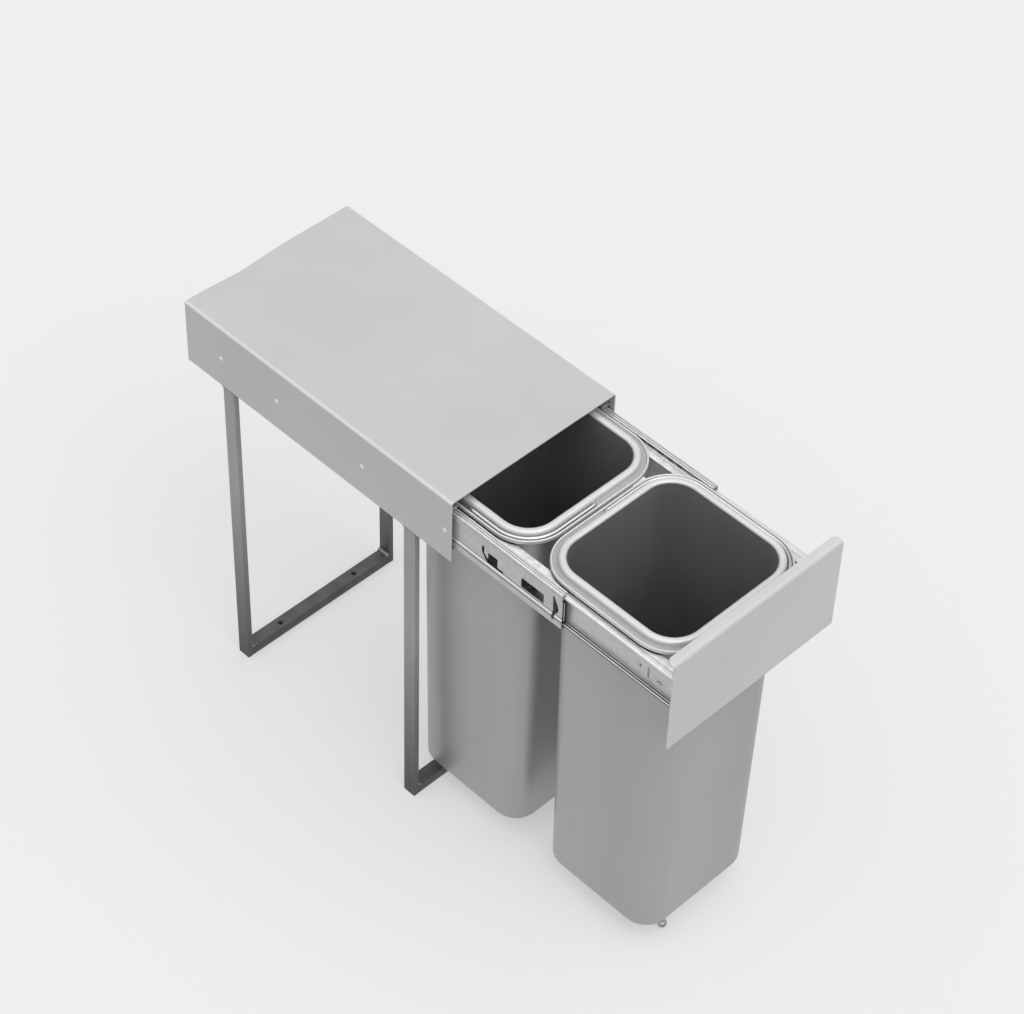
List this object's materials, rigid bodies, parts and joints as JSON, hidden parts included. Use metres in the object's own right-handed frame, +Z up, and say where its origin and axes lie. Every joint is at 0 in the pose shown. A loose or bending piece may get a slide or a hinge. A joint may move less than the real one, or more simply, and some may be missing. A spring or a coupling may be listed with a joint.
{
  "type": "built-in cabinet waste bin",
  "caption": "Pull-out waste bin unit for a floor cabinet: a hood on leg frames, ball-bearing slides and a drawer that carries lift-out bins behind a door panel.",
  "frame": {"origin": "on the floor, at the centre of the four floor screw holes", "axes": "+Z up; the drawer pulls out towards -Y; +X to the right for someone who faces the panel and looks along +Y"},
  "size_m": [0.228, 0.678, 0.497],
  "materials": {
    "hood_sheet": "satin silver-grey paint on steel sheet",
    "leg_bar": "satin mid-grey paint on steel bar",
    "weld": "painted weld bead",
    "slide_steel": "bright zinc-plated steel",
    "cage_steel": "dark oiled steel",
    "ball_steel": "polished steel",
    "rivet_steel": "zinc-plated steel",
    "carrier_zinc": "galvanised steel with a faint mottled spangle",
    "panel_sheet": "satin silver-grey paint on steel sheet",
    "fastener": "zinc-plated steel",
    "bin_plastic": "satin grey plastic",
    "bail_wire": "bright plated steel wire",
    "foot_metal": "turned and plated steel",
    "bumper_rubber": "black rubber",
    "stop_plastic": "black plastic"
  },
  "bodies": {
    "frame": {"hood": "hood_sheet", "hood_rivets_left": "rivet_steel", "hood_rivets_right": "rivet_steel", "upright_front_left": "leg_bar", "upright_front_right": "leg_bar", "upright_rear_left": "leg_bar", "upright_rear_right": "leg_bar", "floor_bar_front": "leg_bar", "floor_bar_rear": "leg_bar", "leg_welds": "weld", "cabinet_rail_left": "slide_steel", "cabinet_rail_right": "slide_steel", "rear_bumper_left": "bumper_rubber", "rear_bumper_right": "bumper_rubber"},
    "drawer": {"drawer_rail_left": "slide_steel", "drawer_rail_right": "slide_steel", "carrier_side_left": "carrier_zinc", "carrier_side_right": "carrier_zinc", "carrier_rivets_left": "rivet_steel", "carrier_rivets_right": "rivet_steel", "cross_bar_front": "carrier_zinc", "cross_bar_rear": "carrier_zinc", "front_panel": "panel_sheet", "panel_studs": "fastener", "panel_nuts": "fastener"},
    "front_bin": {"front_bin": "bin_plastic", "front_bin_foot": "foot_metal", "foot_screw": "fastener"},
    "rear_bin": {"rear_bin": "bin_plastic"},
    "front_bail": {"front_bail": "bail_wire"},
    "rear_bail": {"rear_bail": "bail_wire"},
    "middle_left": {"middle_rail_left": "slide_steel", "rail_stop_left": "stop_plastic"},
    "outer_cage_left": {"outer_cage_left": "cage_steel", "outer_balls_left": "ball_steel"},
    "inner_cage_left": {"inner_cage_left": "cage_steel", "inner_balls_left": "ball_steel"},
    "middle_right": {"middle_rail_right": "slide_steel", "rail_stop_right": "stop_plastic"},
    "outer_cage_right": {"outer_cage_right": "cage_steel", "outer_balls_right": "ball_steel"},
    "inner_cage_right": {"inner_cage_right": "cage_steel", "inner_balls_right": "ball_steel"}
  },
  "joints": [
    {"name": "drawer_slide", "type": "slide", "parent": "frame", "child": "drawer", "axis": [0, -1, 0], "range_m": [-0.2882, 0.104]},
    {"name": "middle_left_slide", "type": "slide", "parent": "frame", "child": "middle_left", "axis": [0, -1, 0], "range_m": [-0.1441, 0.052]},
    {"name": "outer_cage_left_slide", "type": "slide", "parent": "frame", "child": "outer_cage_left", "axis": [0, -1, 0], "range_m": [-0.07205, 0.026]},
    {"name": "inner_cage_left_slide", "type": "slide", "parent": "frame", "child": "inner_cage_left", "axis": [0, -1, 0], "range_m": [-0.21615, 0.078]},
    {"name": "middle_right_slide", "type": "slide", "parent": "frame", "child": "middle_right", "axis": [0, -1, 0], "range_m": [-0.1441, 0.052]},
    {"name": "outer_cage_right_slide", "type": "slide", "parent": "frame", "child": "outer_cage_right", "axis": [0, -1, 0], "range_m": [-0.07205, 0.026]},
    {"name": "inner_cage_right_slide", "type": "slide", "parent": "frame", "child": "inner_cage_right", "axis": [0, -1, 0], "range_m": [-0.21615, 0.078]},
    {"name": "front_bin_lift", "type": "slide", "parent": "drawer", "child": "front_bin", "axis": [0, 0, 1], "range_m": [0, 0.445]},
    {"name": "rear_bin_lift", "type": "slide", "parent": "drawer", "child": "rear_bin", "axis": [0, 0, 1], "range_m": [0, 0.007]},
    {"name": "front_bail_swing", "type": "hinge", "parent": "front_bin", "child": "front_bail", "pos_m": [0, -0.376, 0.4681], "axis": [0, -1, 0], "range_deg": [0, 180]},
    {"name": "rear_bail_swing", "type": "hinge", "parent": "rear_bin", "child": "rear_bail", "pos_m": [0, -0.188, 0.4681], "axis": [0, 1, 0], "range_deg": [0, 6]}
  ],
  "couplings": [
    {"joint": "middle_left_slide", "follows": "drawer_slide", "ratio": 0.5},
    {"joint": "outer_cage_left_slide", "follows": "drawer_slide", "ratio": 0.25},
    {"joint": "inner_cage_left_slide", "follows": "drawer_slide", "ratio": 0.75},
    {"joint": "middle_right_slide", "follows": "drawer_slide", "ratio": 0.5},
    {"joint": "outer_cage_right_slide", "follows": "drawer_slide", "ratio": 0.25},
    {"joint": "inner_cage_right_slide", "follows": "drawer_slide", "ratio": 0.75}
  ]
}
